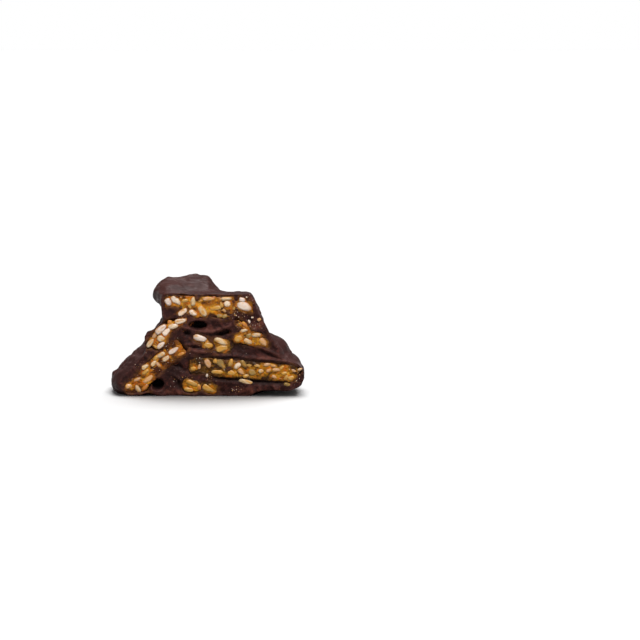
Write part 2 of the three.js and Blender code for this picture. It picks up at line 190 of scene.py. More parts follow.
# Outlines of the bare caramel, x and z; the rest of each band has chocolate over it.
CARAMEL_EDGES = {
    "nougatine_top": (
        (-10.5, 24.6), (-9.6, 25.0), (-8.2, 25.3), (-6.6, 25.5), (-3.2, 25.4), (-2.9, 24.5),
        (-1.7, 24.4), (-1.2, 25.0), (0.4, 25.3), (2.1, 25.2), (2.8, 24.7), (3.4, 25.1),
        (6.1, 25.2), (6.4, 23.7), (7.8, 23.5), (8.1, 24.9), (9.7, 24.8), (10.3, 23.9),
        (11.4, 23.4), (11.6, 21.2), (9.6, 21.1), (7.7, 21.6), (6.7, 21.2),
        (5.2, 19.6), (3.6, 19.4), (0.8, 20.5), (0.0, 19.9), (-2.7, 20.0), (-5.0, 21.1),
        (-6.7, 20.3), (-7.3, 20.8), (-6.7, 22.4), (-10.4, 22.7),
    ),
    "nougatine_upper_left": (
        (-4.9, 19.7), (-5.1, 18.5), (-7.0, 17.4), (-9.1, 16.2), (-9.7, 14.8), (-10.4, 13.1),
        (-11.3, 11.5), (-12.8, 11.5), (-14.8, 12.1), (-15.4, 13.2), (-14.3, 14.7),
        (-13.0, 16.5), (-11.8, 17.9), (-10.0, 19.2), (-7.7, 19.6),
    ),
    "nougatine_lower_left": (
        (-20.8, 1.9), (-20.4, 3.0), (-18.1, 4.8), (-16.4, 7.0), (-15.3, 8.4), (-12.8, 10.5),
        (-11.4, 11.6), (-9.3, 12.8), (-8.3, 14.0), (-6.6, 13.6), (-6.1, 12.4), (-4.8, 11.9),
        (-5.3, 10.8), (-6.9, 9.8), (-9.3, 7.8), (-11.1, 6.5), (-12.8, 4.8), (-13.9, 3.0),
        (-14.4, 1.3), (-16.0, 1.0), (-18.8, 0.9), (-20.2, 1.0),
    ),
    "nougatine_crumb_left": (
        (-3.6, 15.0), (-2.3, 15.6), (-0.1, 14.7), (0.4, 13.8), (1.6, 12.9), (1.5, 12.1),
        (0.5, 11.7), (-0.8, 12.2), (-1.1, 13.2), (-2.7, 13.8), (-3.5, 14.3),
    ),
    "nougatine_crumb_right": (
        (1.6, 14.4), (2.9, 14.6), (5.3, 13.4), (5.8, 11.8), (4.8, 10.8), (2.8, 10.7),
        (2.0, 11.5), (1.8, 12.9),
    ),
    "nougatine_upper_right": (
        (8.5, 19.0), (9.3, 18.8), (10.4, 17.5), (11.1, 16.3), (13.5, 16.1), (15.2, 13.8),
        (15.0, 12.3), (12.4, 12.7), (10.0, 12.6), (8.9, 13.1), (6.8, 13.3), (6.5, 15.4),
        (8.1, 15.8), (8.4, 17.1), (7.6, 17.8), (6.7, 19.4), (7.6, 19.9),
    ),
    "nougatine_lower_right": (
        (-4.1, 8.3), (-3.5, 9.4), (-0.9, 9.6), (1.9, 9.6), (4.9, 9.0), (8.2, 8.7), (11.7, 8.5),
        (15.2, 8.3), (19.8, 8.0), (23.7, 7.1), (23.7, 6.0), (22.3, 5.0), (21.9, 3.9),
        (20.1, 3.7), (17.7, 4.0), (14.5, 4.2), (11.7, 4.6), (8.2, 4.6), (4.7, 4.8), (4.0, 5.3),
        (0.5, 5.6), (-2.3, 6.0), (-4.1, 5.9),
    ),
    "nougatine_base": (
        (-6.4, 2.2), (-6.2, 3.8), (-5.1, 4.1), (-2.7, 3.6), (-2.0, 2.6), (-1.2, 3.0),
        (0.8, 3.6), (2.5, 2.3), (2.2, 0.6), (0.5, 0.6), (-1.0, 1.5), (-2.3, 1.3), (-3.7, 0.7),
        (-5.8, 0.9),
    ),
}

# Chocolate that covers the bands in places: x, z and half sizes.
COVERED = (
    (-2.3, 24.6, 0.6, 0.5), (7.0, 24.4, 0.8, 0.9), (10.8, 24.5, 0.8, 0.7), (0.2, 23.6, 0.7, 0.3),
    (5.0, 20.9, 0.5, 0.7), (7.6, 21.4, 0.9, 0.6), (3.9, 22.4, 0.5, 0.4), (-1.2, 8.5, 0.7, 0.5),
    (5.0, 8.7, 0.9, 0.4), (5.3, 6.4, 0.5, 0.8), (9.7, 7.8, 0.8, 0.5), (9.4, 15.3, 0.5, 0.7),
    (-1.3, 2.2, 0.5, 0.9), (-8.0, 10.0, 0.5, 0.4),
)

# Ridges and furrows in the chocolate of the cut: x and z of both ends, half width, height.
RIDGES = (
    (-1.8, 16.4, 1.2, 16.2, 0.40, 0.70), (1.2, 16.2, 5.8, 17.7, 0.40, 0.80),
    (2.8, 15.5, 4.0, 15.8, 0.45, -1.30), (4.6, 16.4, 5.6, 16.2, 0.45, -1.00),
    (-6.8, 18.0, -4.6, 16.6, 0.60, 0.50), (-5.4, 16.2, -4.7, 15.8, 0.65, -1.40),
    (-7.0, 13.8, -6.0, 10.6, 0.70, -0.80), (-5.4, 13.0, -2.4, 13.2, 0.45, 0.55),
    (-4.6, 11.6, -0.4, 11.0, 0.50, 0.65), (-3.4, 12.3, -1.0, 12.0, 0.45, -0.40),
    (1.8, 10.3, 9.8, 9.8, 0.45, 0.50), (9.8, 9.8, 20.5, 8.6, 0.45, 0.55),
    (12.5, 12.6, 18.7, 9.8, 0.45, 0.60), (13.4, 11.4, 18.0, 9.4, 0.60, -0.45),
    (6.0, 13.6, 10.2, 11.4, 1.10, -0.60), (-9.0, 9.0, -5.6, 6.2, 0.70, -0.80),
    (-8.6, 5.6, -6.4, 3.7, 0.35, 0.45), (-8.0, 4.2, -6.6, 1.6, 0.70, -0.60),
    (1.6, 4.6, 5.4, 4.3, 0.45, -1.00), (5.4, 4.2, 20.4, 3.2, 0.40, -0.85),
    (12.8, 2.8, 13.4, 0.8, 0.35, 0.45), (16.4, 2.6, 17.6, 0.8, 0.35, 0.40),
    (-15.8, 10.6, -13.6, 8.8, 0.50, 0.35), (6.4, 20.2, 8.2, 16.4, 0.40, 0.40),
    (-1.0, 19.4, 4.0, 19.0, 0.60, 0.25), (-4.6, 9.0, -4.4, 5.8, 0.45, -0.70),
)

# Where the chocolate of the cut is reddish, and where painted shade darkens it in furrows, pits and
# under lips: x, z and half sizes.
REDDISH = (
    (-2.4, 11.8, 2.4, 1.2), (2.6, 16.9, 3.6, 0.6), (-5.3, 17.3, 0.9, 0.7), (16.0, 9.6, 4.6, 0.7),
    (21.6, 4.4, 1.6, 1.6), (12.6, 18.2, 1.8, 1.4), (11.0, 1.4, 2.4, 0.8), (11.4, 24.2, 0.8, 1.4),
    (-5.2, 26.0, 3.2, 0.4), (2.8, 25.8, 4.0, 0.35), (-16.6, 3.6, 1.0, 0.8), (-7.6, 1.2, 3.0, 0.7),
)
# Painted shade: ovals darkened where furrows, pits and lips would shade the cut.
PAINTED_SHADE = (
    (8.4, 12.4, 2.6, 0.8), (-5.1, 16.0, 0.9, 0.8), (-6.6, 12.2, 0.9, 2.0), (2.6, 9.7, 7.0, 0.5),
    (13.0, 8.9, 6.0, 0.35), (-8.6, 7.0, 2.2, 2.4), (-6.6, 3.4, 1.6, 1.6), (3.6, 15.6, 1.4, 0.6),
    (6.0, 4.0, 4.4, 0.6), (15.0, 3.4, 5.0, 0.6), (3.0, 4.3, 2.2, 0.5),
)

# Where the knife left the chocolate smooth: x, z and half sizes.
SMOOTH = (
    (1.6, 18.8, 4.6, 1.0), (-9.3, 21.4, 1.6, 1.2), (-14.6, 10.2, 1.8, 1.8), (13.4, 19.2, 1.4, 1.6),
    (15.0, 11.0, 2.6, 1.2), (-7.4, 15.4, 1.6, 1.2),
)

# Air pockets that the knife opened: x, z and half sizes.
POCKETS = ((-2.25, 17.9, 2.65, 1.2), (-12.4, 2.9, 1.8, 1.6), (4.7, 16.0, 1.3, 0.5))

# Where the coat swells or sags: x, distance behind the cut, z, reach and height in millimetres.
SWELLS = (
    (-0.2, 12.0, 28.6, 1.6, 0.45), (-2.7, 12.0, 29.2, 1.8, -0.45), (2.2, 12.0, 27.6, 1.5, -0.75),
    (-11.8, 7.0, 21.2, 2.0, -0.45), (-11.3, 5.5, 20.3, 1.3, -0.60), (-11.8, 3.0, 18.6, 1.4, 0.85),
    (-12.2, 15.0, 16.4, 1.8, 0.60), (-13.1, 8.5, 23.2, 1.9, 0.80),
)

# Where the knife left most crumbs: x, z, half sizes and number.
CRUMBLED = (
    (7.6, 20.4, 2.6, 0.8, 34), (11.9, 17.6, 1.7, 0.9, 24), (8.4, 17.6, 1.3, 1.4, 20),
    (-2.7, 9.0, 1.1, 0.8, 16), (-5.2, 4.4, 1.5, 0.6, 14), (0.4, 4.8, 0.9, 0.6, 14),
    (7.3, 1.6, 1.3, 0.8, 18), (-9.2, 12.0, 1.2, 1.2, 8), (-16.8, 8.4, 1.4, 1.6, 8),
    (-8.0, 4.4, 1.2, 0.8, 10), (21.8, 5.0, 1.4, 1.8, 10), (10.6, 24.4, 1.0, 1.0, 8),
)


# ---- settings ----


class NougatineChocolate(bpy.types.PropertyGroup):
    grain: FloatProperty(
        name="Grain", default=0.30 * MM, unit="LENGTH",
        description="Spacing of the points that the chocolate's skin is made of",
    )
    lump: FloatProperty(
        name="Lumps", default=0.20 * MM, unit="LENGTH",
        description="Height of the slow lumps in the coat",
    )
    nodule: FloatProperty(
        name="Nodules", default=0.44 * MM, unit="LENGTH",
        description="Height of the seeds that show through the coat as nodules",
    )
    nodules: IntProperty(
        name="Number of nodules", default=190,
        description="How many seeds show through the coat as nodules",
    )
    coat: FloatVectorProperty(
        name="Coat", default=(0.036, 0.0126, 0.0108), subtype="COLOR",
        description="Colour of the set coat",
    )
    cut: FloatVectorProperty(
        name="Cut", default=(0.034, 0.0108, 0.0090), subtype="COLOR",
        description="Colour of the chocolate where the knife went through it",
    )


class NougatineCaramel(bpy.types.PropertyGroup):
    grain: FloatProperty(
        name="Grain", default=0.22 * MM, unit="LENGTH",
        description="Spacing of the points that the caramel's skin is made of",
    )
    spread: FloatProperty(
        name="Spread", default=0.46 * MM, unit="LENGTH",
        description="How far the caramel runs into the chocolate round a shard",
    )
    relief: FloatProperty(
        name="Relief", default=0.20 * MM, unit="LENGTH",
        description="Height of the broken caramel's relief on the cut",
    )


class NougatineSeeds(bpy.types.PropertyGroup):
    thick: FloatProperty(
        name="Thickness", default=1.1 * MM, unit="LENGTH",
        description="Thickness of a whole sesame seed",
    )
    proud: FloatProperty(
        name="Proud", default=0.42 * MM, unit="LENGTH",
        description="How far the whitest seeds stand out of the cut",
    )
    specks: IntProperty(
        name="Specks", default=10,
        description="How many spots of seed or caramel peep out of the coat",
    )
    crumbs: IntProperty(
        name="Crumbs", default=110,
        description="How many crumbs lie spread all over the cut",
    )


class NougatineStage(bpy.types.PropertyGroup):
    distance: FloatProperty(
        name="Distance", default=533.33 * MM, unit="LENGTH",
        description="From the camera to the plane through the foot of the cut",
    )
    elevation: FloatProperty(
        name="Elevation", default=math.radians(8), subtype="ANGLE",
        description="How far the camera looks down",
    )
    overhead: FloatProperty(
        name="Overhead light", default=3.4,
        description="Strength of the wide soft light above and behind the lump",
    )
    key: FloatProperty(
        name="Key light", default=4.8,
        description="Strength of the light that falls on the lump from above in front",
    )
    sky: FloatProperty(
        name="Room", default=0.16,
        description="Brightness of the studio above its white horizon",
    )
    floor: FloatVectorProperty(
        name="Floor", default=(0.90, 0.90, 0.90), subtype="COLOR",
        description="Colour of the table",
    )


# ---- shaders ----

# Colours that are laid over that of the cut, one after another: tones of the chocolate itself, painted
# highlight on ridges, raised spots and the rim, and painted shade in crevices and deep in the air
# pockets.
CUT_COLOURS = {
    "cool": (0.020, 0.0085, 0.0080),
    "reddish": (0.078, 0.020, 0.015),
    "warm": (0.090, 0.027, 0.018),
    "grainy": (0.11, 0.055, 0.045),
    "painted_highlight": (0.076, 0.028, 0.022),
    "soaked": (0.085, 0.032, 0.005),
    "deep": (0.012, 0.0055, 0.0050),
    "hollow": (0.004, 0.002, 0.002),
}
SPECK_COLOUR = (0.20, 0.13, 0.10)
EMBER_COLOUR = (0.36, 0.078, 0.003)
SMEAR_COLOUR = (0.022, 0.0070, 0.0030)
HUSK_TINT = (0.88, 0.70, 0.42)
CHALK_COLOUR = (0.76, 0.68, 0.60)


class Value:
    """A number or colour on its way through a shader. Sums on it add Math nodes."""

    def __init__(self, shader, socket):
        self.shader = shader
        self.socket = socket

    def math(self, operation, *others):
        terms = dict(enumerate((self, *others)))
        return self.shader.node("ShaderNodeMath", {"operation": operation}, terms)

    def __add__(self, other):
        return self.math("ADD", other)

    def __sub__(self, other):
        return self.math("SUBTRACT", other)

    def __mul__(self, other):
        return self.math("MULTIPLY", other)

    def __rsub__(self, other):
        return self.math("MULTIPLY_ADD", -1.0, other)

    __radd__ = __add__
    __rmul__ = __mul__

    def band(self, low, high):
        """0 below low, 1 above high, and smooth between them; the other way round if low > high."""
        sockets = {"Value": self, "From Min": min(low, high), "From Max": max(low, high)}
        settings = {"interpolation_type": "SMOOTHSTEP"}
        made = self.shader.node("ShaderNodeMapRange", settings, sockets)
        return 1 - made if low > high else made


class Shader:
    """The nodes of a material or a world, and the one way to add to them."""

    def __init__(self, owner, coordinates="Object"):
        owner.use_nodes = True
        self.owner = owner
        self.tree = owner.node_tree
        self.tree.nodes.clear()
        self.place = self.node("ShaderNodeTexCoord", output=coordinates)

    def node(self, kind, settings=None, sockets=None, output=0):
        """Adds a node, and gives what comes out of it."""
        node = self.tree.nodes.new(kind)
        for name, setting in (settings or {}).items():
            setattr(node, name, setting)
        for name, given in (sockets or {}).items():
            if isinstance(given, Value):
                self.tree.links.new(given.socket, node.inputs[name])
            elif given is not None:
                node.inputs[name].default_value = given
        return Value(self, node.outputs[output]) if node.outputs else None

    def noise(self, size, detail=2.0, rough=0.5, warp=0.0, stretch=None):
        """Noise with lumps of that size in metres, from 0 to 1."""
        place = self.place
        if stretch is not None:
            product = {"operation": "MULTIPLY"}
            place = self.node("ShaderNodeVectorMath", product, {0: place, 1: stretch})
        sockets = {
            "Vector": place, "Scale": 1 / size, "Detail": detail, "Roughness": rough,
            "Distortion": warp,
        }
        return self.node("ShaderNodeTexNoise", None, sockets)

    def cells(self, size):
        """How far each place lies from the middle of a cell of about that size in metres."""
        sockets = {"Vector": self.place, "Scale": 1 / size}
        return self.node("ShaderNodeTexVoronoi", None, sockets)

    def mark(self, name, output="Fac"):
        """What the mesh carries under that name."""
        return self.node("ShaderNodeAttribute", {"attribute_name": name}, output=output)

    def blend(self, amount, low, high, mode="MIX"):
        """Colour low where amount is 0, and high where it is 1."""
        settings = {"data_type": "RGBA", "blend_type": mode}
        sockets = {0: amount, 6: solid(low), 7: solid(high)}
        return self.node("ShaderNodeMix", settings, sockets, 2)

    def bumps(self, *layers):
        """Bumps one over another, each with its height field, its depth in metres and its strength."""
        normal = None
        for height, depth, strength in layers:
            sockets = {"Height": height, "Distance": depth, "Strength": strength, "Normal": normal}
            normal = self.node("ShaderNodeBump", None, sockets)
        return normal

    def finish(self, **sockets):
        """One physically based finish. Sockets are named with underscores for spaces."""
        named = {name.replace("_", " "): given for name, given in sockets.items()}
        return self.node("ShaderNodeBsdfPrincipled", None, named)

    def mix(self, amount, low, high):
        """Finish low where amount is 0, and high where it is 1."""
        return self.node("ShaderNodeMixShader", None, {0: amount, 1: low, 2: high})

    def show(self, surface, output="ShaderNodeOutputMaterial"):
        self.node(output, None, {"Surface": surface})
        return self.owner


def solid(colour):
    return colour if isinstance(colour, Value) else (*colour, 1.0)


def scaled(colour, factor, more=0.0):
    return tuple(factor * c + more for c in colour)


def new_material(name):
    return Shader(bpy.data.materials.new(name))


def coat_finish(m, s, proud):
    """Satin coat, with streaks where it set, and paler along some streaks and over the nodules."""
    slow = m.noise(7 * MM, 3, 0.55, 0.6)
    streak = m.noise(2.2 * MM, 4, 0.6, 1.2, (0.35, 0.5, 1.6))
    fine = m.noise(0.35 * MM, 4, 0.65)
    pale = (streak.band(0.52, 0.78) * 0.5 + proud * 0.35).math("MINIMUM", 1.0)
    speck = m.cells(1.7 * MM).band(0.10, 0.05) * m.noise(5 * MM).band(0.55, 0.7)
    coat = m.blend(slow.band(0.35, 0.68), scaled(s.coat, 0.62), s.coat)
    coat = m.blend(pale, coat, scaled(s.coat, 1.9, 0.012))
    coat = m.blend(speck * 0.5, coat, SPECK_COLOUR)
    skin = m.bumps((fine, 0.05 * MM, 0.35), (streak, 0.16 * MM, 0.45))
    gloss = m.finish(
        Base_Color=coat,
        Roughness=0.48 - slow.band(0.3, 0.7) * 0.08 + fine * 0.06,
        Specular_IOR_Level=0.34,
        Normal=skin,
    )
    dull = m.finish(Base_Color=coat, Specular_IOR_Level=0.0, Normal=skin)
    return m.mix(streak.band(0.40, 0.72) * 0.34 + 0.30, dull, gloss)


def cut_finish(m, s, cut, proud):
    """Matt chocolate on the cut, mottled, torn and grainy, with painted highlight where it stands out
    and painted shade in its crevices and air pockets.
    """
    mottle = m.noise(1.6 * MM, 4, 0.6, 0.4)
    patch = m.noise(5 * MM, 3, 0.5, 0.5)
    grain = m.noise(0.28 * MM, 3, 0.7)
    red = m.noise(0.9 * MM, 3, 0.6, 0.8)
    amounts = {
        "cool": patch.band(0.56, 0.48) * 0.5,
        "reddish": red.band(0.56, 0.64) * 0.5,
        # Reddish chocolate, and a painted highlight along the crests of the ridges.
        "warm": m.mark("warm"),
        "grainy": grain.band(0.68, 0.80) * 0.3,
        # Painted highlight on raised spots of the cut and along its rim.
        "painted_highlight": proud * cut * 0.6,
        "soaked": m.mark("syrup"),
        # Painted shade in crevices, furrows and under lips.
        "deep": m.mark("deep_in"),
        # Painted shade, near black, deep in the air pockets.
        "hollow": m.mark("hollow"),
    }
    bare = m.blend(mottle.band(0.44, 0.56), scaled(s.cut, 0.48), s.cut)
    for name, amount in amounts.items():
        bare = m.blend(amount, bare, CUT_COLOURS[name])
    return m.finish(
        Base_Color=bare,
        Roughness=0.50 - mottle * 0.20,
        Specular_IOR_Level=0.045,
        Normal=m.bumps(
            (grain, 0.10 * MM, 0.8), (red, 0.30 * MM, 0.8), (m.cells(1.3 * MM), 0.20 * MM, 0.6)
        ),
    )


def chocolate_finish(s):
    """Satin coat outside, and matt chocolate where the mesh is marked as cut."""
    m = new_material("Dark chocolate")
    cut = m.mark("cut")
    proud = m.mark("proud")
    return m.show(m.mix(cut, coat_finish(m, s, proud), cut_finish(m, s, cut, proud)))


def caramel_finish(name, deep, bright, golden, smeared):
    """Glassy caramel, dark where it is thick and towards the edge of the bare caramel, lit up and
    golden near the seeds by a painted glow, with some chocolate dragged over it.
    """
    m = new_material("Caramel " + name)
    # Painted glow of the light that the seeds throw back through the caramel round them.
    near = m.mark("near")
    inside = m.mark("inside")
    slow = m.noise(2.6 * MM, 2, 0.5, 0.6)
    fine = m.noise(0.8 * MM, 2, 0.5, 0.5)
    drag = m.noise(2.2 * MM, 3, 0.6, 1.2)
    # Lighter in patches where the caramel is thinner, and lit up near the seeds by the painted glow.
    lit = (slow * 0.74 + fine * 0.26 + near * 0.22 - 0.07).band(0.42, 0.62)
    # Golden near the seeds: more of the painted glow.
    gold = m.noise(1.6 * MM, 2, 0.5).band(0.48, 0.60) * near
    ember = m.noise(1.35 * MM, 2, 0.5).band(0.50, 0.60) * 0.75
    smear = drag.band(0.80 - 0.4 * smeared, 0.83 - 0.4 * smeared)
    body = m.blend(lit * (inside * 0.65 + 0.35), deep, bright)
    body = m.blend(gold * inside, body, golden)
    body = m.blend(ember * inside * lit, body, EMBER_COLOUR)
    body = m.blend(smear, body, SMEAR_COLOUR)
    return m.show(m.finish(
        Base_Color=body,
        Roughness=0.12 + smear * 0.30 + fine * 0.10 + (1 - inside) * 0.32,
        Specular_IOR_Level=0.15,
        Subsurface_Weight=0.25,
        Subsurface_Radius=(1.0, 0.32, 0.05),
        Subsurface_Scale=0.5 * MM,
        Normal=m.bumps(
            (m.noise(0.45 * MM, 1, 0.4, 0.6), 0.14 * MM, 0.7),
            (m.noise(1.0 * MM, 1, 0.4, 0.6), 0.55 * MM, 1.0),
            (m.cells(1.5 * MM), 0.25 * MM, 0.6),
        ),
    ))


def seed_finish():
    """Hulled sesame: chalky cream, a little waxy, stained by the caramel round it."""
    m = new_material("Sesame")
    mottle = m.noise(0.8 * MM, 3, 0.6)
    fine = m.noise(0.22 * MM, 3, 0.6)
    tone = m.mark("tone", "Color")
    skin = m.blend(mottle.band(0.45, 0.75) * 0.55, tone, HUSK_TINT, "MULTIPLY")
    skin = m.blend(fine.band(0.62, 0.78) * 0.30, skin, CHALK_COLOUR)
    return m.show(m.finish(
        Base_Color=skin,
        Roughness=0.30 + mottle * 0.15,
        Specular_IOR_Level=0.40,
        Subsurface_Weight=0.12,
        Subsurface_Radius=(1.0, 0.6, 0.35),
        Subsurface_Scale=0.4 * MM,
        Normal=m.bumps((fine, 0.06 * MM, 0.6)),
    ))


# ---- meshes ----


def on_cut(x, z, behind=0.0):
    """A place on the cut, in metres, from millimetres along it and up it, and metres behind it."""
    return Vector((CUT_X + x * MM, CUT_Y + behind, z * MM))


def from_cut(co):
    """Where points lie, in millimetres: along the cut, behind it, and up it."""
    return (co[:, 0] - CUT_X) / MM, (co[:, 1] - CUT_Y) / MM, co[:, 2] / MM


def merged_copy(node):
    """The solid's mesh with its loose triangles joined up, as a bmesh."""
    bm = bmesh.new()
    bm.from_mesh(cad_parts[node].data)
    bmesh.ops.remove_doubles(bm, verts=bm.verts, dist=0.001 * MM)
    bm.normal_update()
    return bm


def as_mesh(bm, name):
    mesh = bpy.data.meshes.new(name)
    bm.to_mesh(mesh)
    bm.free()
    return mesh


def even_skin(mesh, step):
    """The mesh with one even skin of small faces, that step apart."""
    blank = bpy.data.objects.new(mesh.name, mesh)
    bpy.context.scene.collection.objects.link(blank)
    skin = blank.modifiers.new("Even skin", "REMESH")
    skin.mode = "VOXEL"
    skin.voxel_size = step
    ready = blank.evaluated_get(bpy.context.evaluated_depsgraph_get())
    even = bpy.data.meshes.new_from_object(ready)
    bpy.data.objects.remove(blank)
    if not even.vertices:
        raise RuntimeError(mesh.name + " came out empty")
    return even


def read(items, what, width, kind):
    """One measure of each item of a mesh, in rows of that width."""
    out = np.empty(len(items) * width, kind)
    items.foreach_get(what, out)
    return out.reshape(-1, width)


def skin_of(mesh):
    """The places and normals of a mesh's vertices, and the pairs of vertices at its edges."""
    co = read(mesh.vertices, "co", 3, np.float32).astype(float)
    normal = read(mesh.vertex_normals, "vector", 3, np.float32).astype(float)
    return co, normal, read(mesh.edges, "vertices", 2, np.int32)


def surface_of(name):
    """The skin of a finished piece, for rays to find it."""
    mesh = bpy.data.objects[name].data
    mesh.calc_loop_triangles()
    co = [v.co for v in mesh.vertices]
    return BVHTree.FromPolygons(co, [t.vertices for t in mesh.loop_triangles])


def put_points(mesh, co):
    mesh.vertices.foreach_set("co", co.astype(np.float32).ravel())
    mesh.update()


def neighbour_mean(edges, field):
    """The mean of a field over each vertex's neighbours."""
    size = len(field)
    near = np.bincount(edges.ravel(), minlength=size).clip(1)
    columns = field.reshape(size, -1)
    total = np.empty_like(columns)
    for k in range(columns.shape[1]):
        total[:, k] = np.bincount(edges[:, 0], columns[edges[:, 1], k], size)
        total[:, k] += np.bincount(edges[:, 1], columns[edges[:, 0], k], size)
    return (total / near[:, None]).reshape(field.shape)


def relax(co, edges, weight, rounds, rim=None):
    """Evens out a surface without shrinking it. weight is how freely it moves along each axis.

    rim marks the points of a sharp outline, which follow only each other.
    """
    if rim is not None:
        rim_edges = edges[rim[edges[:, 0]] & rim[edges[:, 1]]]
        held = np.bincount(rim_edges.ravel(), minlength=len(co)) >= 2
    for step in (0.55, -0.57) * rounds:
        mean = neighbour_mean(edges, co)
        if rim is not None:
            mean[rim] = np.where(held[:, None], neighbour_mean(rim_edges, co), co)[rim]
        co = co + step * weight * (mean - co)
    return co


def soften(field, edges, rounds):
    for _ in range(rounds):
        field = 0.5 * (field + neighbour_mean(edges, field))
    return field


def rough(co, size, seed):
    """Smooth noise at each point, about -1 to 1, with lumps of that size in metres."""
    shift = Vector((17.3 * seed, -9.1 * seed, 5.7 * seed))
    scale = 1 / size
    return np.array([noise.noise(Vector(p) * scale + shift) for p in co])


def smoothstep(field, low, high):
    t = np.clip((field - low) / (high - low), 0, 1)
    return t * t * (3 - 2 * t)


def carry(mesh, **fields):
    """Leaves numbers at each vertex for the material to read."""
    for name, field in fields.items():
        mark = mesh.attributes.new(name, "FLOAT", "POINT")
        mark.data.foreach_set("value", field.astype(np.float32))


def lump_pieces():
    """The collection that the pieces of the lump are in, for the light that the table doesn't get."""
    found = bpy.data.collections.get("lump")
    if found is None:
        found = bpy.data.collections.new("lump")
        bpy.context.scene.collection.children.link(found)
    return found


def finished(name, mesh, material):
    """Puts a finished mesh in the scene as a piece of the lump."""
    mesh.materials.append(material)
    mesh.shade_smooth()
    piece = bpy.data.objects.new(name, mesh)
    lump_pieces().objects.link(piece)
    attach(piece, "root")
    return piece


def scattered(points, keep, count, gap, random):
    """Indices of count points among those to keep, no two nearer than gap."""
    chosen = []
    for i in random.permutation(np.flatnonzero(keep)):
        if all(np.sum((points[i] - points[j]) ** 2) > gap * gap for j in chosen):
            chosen.append(i)
            if len(chosen) == count:
                break
    return chosen


# ---- chocolate ----

# How far the filled shards are grown into the chocolate, so that no gap is left round them.
OVERLAP = 0.55 * MM
# How far behind the knife's plane the cut and its air pockets reach, in millimetres.
CUT_DEPTH, POCKET_DEPTH = 0.75, 4
# The depth of an air pocket for its lesser half size.
POCKET_BOWL = 1.7
# How deep the bands of caramel lie in the chocolate of the cut.
BAND_DEPTH = 0.8 * MM
# How far the coat may pass the low and the high corner of the box of the solids.
PAST_LOW, PAST_HIGH = 0.2 * MM, 0.4 * MM


def filled_lump():
    """The chocolate with its pockets for the shards filled, as one mesh."""
    whole = merged_copy("chocolate")
    for node in BANDS:
        shard = merged_copy(node)
        for v in shard.verts:
            v.co += OVERLAP * v.normal
            v.co.y = max(v.co.y, CUT_Y)
        whole.from_mesh(as_mesh(shard, node))
    return as_mesh(whole, "chocolate_coat")


def open_pockets(co):
    """Presses the air pockets into the cut. Gives how much each point belongs to one, which also sets
    the painted shade, near black, deep in them.
    """
    x, behind, z = from_cut(co)
    hollow = np.zeros(len(co))
    for oval in POCKETS:
        near = from_oval(x, z, *oval)
        bowl = POCKET_BOWL * min(oval[2:]) * (1 - near**2) * (behind < POCKET_DEPTH) * (near < 1)
        co[:, 1] = np.maximum(co[:, 1], CUT_Y + bowl * MM)
        behind = (co[:, 1] - CUT_Y) / MM
        inside = (near < 1.25) * smoothstep(behind, 0.3, 1.5) * (behind < POCKET_DEPTH)
        hollow = np.maximum(hollow, inside)
    return hollow


def evened(co, edges, cut, rim):
    """The lump made smooth, with its cut flat, the rim of that sharp, and its foot on the table."""
    free = np.ones((len(co), 3))
    free[:, 1] = 1 - 0.9 * cut
    free[:, 2] = np.where(co[:, 2] / MM < 0.05, 0, 1)
    free[rim, 1] = 0
    co[rim, 1] = np.minimum(co[rim, 1], CUT_Y + 0.05 * MM)
    return relax(co, edges, free, 14, rim)


def raise_nodules(co, normal, coat, s, random):
    """How far seeds under the coat lift it."""
    lift = np.zeros(len(co))
    chosen = scattered(co, (coat > 0.9) & (co[:, 2] > 1.2 * MM), s.nodules, 2.2 * MM, random)
    for i in chosen:
        up = Vector(normal[i])
        side = up.orthogonal().normalized()
        side.rotate(Matrix.Rotation(random.uniform(0, math.pi), 3, up))
        across = np.array(up.cross(side))
        away = co - co[i]
        near = np.flatnonzero(np.einsum("ij,ij->i", away, away) < (3 * MM) ** 2)
        away = away[near]
        length = random.uniform(1.2, 1.8) * MM
        width = random.uniform(0.7, 1.1) * MM
        reach = (away @ np.array(side) / length) ** 2 + (away @ across / width) ** 2
        reach += (away @ np.array(up) / (1.2 * MM)) ** 2
        height = random.uniform(0.25, 1.0) * s.nodule
        lift[near] = np.maximum(lift[near], height * np.exp(-1.3 * reach))
    return lift


def raise_coat(co, places, coat, nodules, s):
    """How far the lumps, folds, nodules and swellings lift the skin, none of them at the foot.

    places are where the points lay before the skin was evened.
    """
    x, behind, z = places
    lumps = rough(co, 5.5 * MM, 1) + 0.5 * rough(co, 2.6 * MM, 2) + 0.22 * rough(co, 1.2 * MM, 3)
    lumps *= 1 - 0.6 * smoothstep(z, 25, 27)
    flow = rough(co, 7 * MM, 4)
    fold = np.exp(-((flow / 0.035) ** 2)) * smoothstep(rough(co, 9 * MM, 5), -0.05, 0.2)
    calm = 1 - 0.6 * smoothstep(z, 20, 24) * smoothstep(behind, 14, 6)
    lift = coat * (s.lump * (lumps - 0.1) + calm * nodules + 0.07 * MM * fold)
    for sx, sy, sz, reach, height in SWELLS:
        away = ((x - sx) ** 2 + ((behind - sy) / 2) ** 2 + (z - sz) ** 2) / reach**2
        lift += height * MM * np.exp(-away)
    return lift * smoothstep(z, 0.0, 1.2)


def from_line(x, z, x0, z0, x1, z1):
    """How far along a line places lie, from 0 to 1, and how far from it."""
    dx, dz = x1 - x0, z1 - z0
    t = np.clip(((x - x0) * dx + (z - z0) * dz) / (dx * dx + dz * dz), 0, 1)
    return t, np.hypot(x - x0 - t * dx, z - z0 - t * dz)


def ridged(x, z):
    """How far ridges and furrows stand out at places in millimetres on the cut, in millimetres."""
    out = np.zeros_like(x)
    for *line, width, height in RIDGES:
        t, away = from_line(x, z, *line)
        reach = away / width
        taper = 0.55 + 0.45 * np.sin(np.pi * t)
        out += height * taper * np.exp(-reach * reach)
    return out


